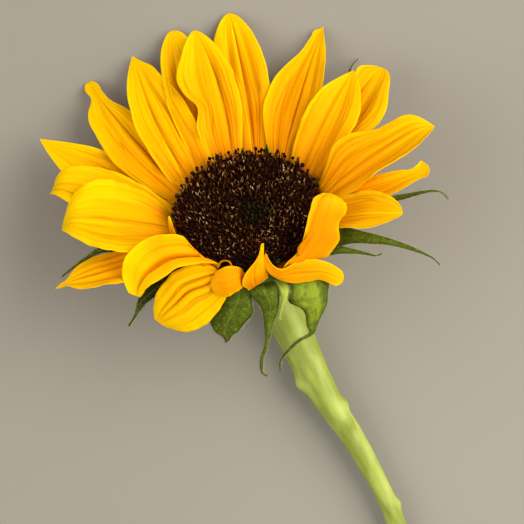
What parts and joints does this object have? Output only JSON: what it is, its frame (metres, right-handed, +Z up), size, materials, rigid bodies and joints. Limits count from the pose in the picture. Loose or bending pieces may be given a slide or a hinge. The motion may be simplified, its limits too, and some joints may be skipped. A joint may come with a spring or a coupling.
{
  "type": "cut sunflower",
  "caption": "Cut sunflower lying down, with yellow ray petals, a dark brown disc, curled green bracts and a pale green stem.",
  "frame": {"origin": "on the surface that the flower lies on, under the middle of its bounding box", "axes": "+Z up from the surface, +Y along the stem towards the flower head, +X across"},
  "size_m": [0.149, 0.2763, 0.0707],
  "materials": {
    "stem_green": "matt with fine hairs",
    "bract_green": "matt with hairy edges",
    "petal_yellow": "satin",
    "disc_brown": "matt"
  },
  "bodies": {
    "root": {"stem": "stem_green", "bracts": "bract_green", "ray_petals": "petal_yellow", "disc_florets": "disc_brown"}
  },
  "joints": []
}
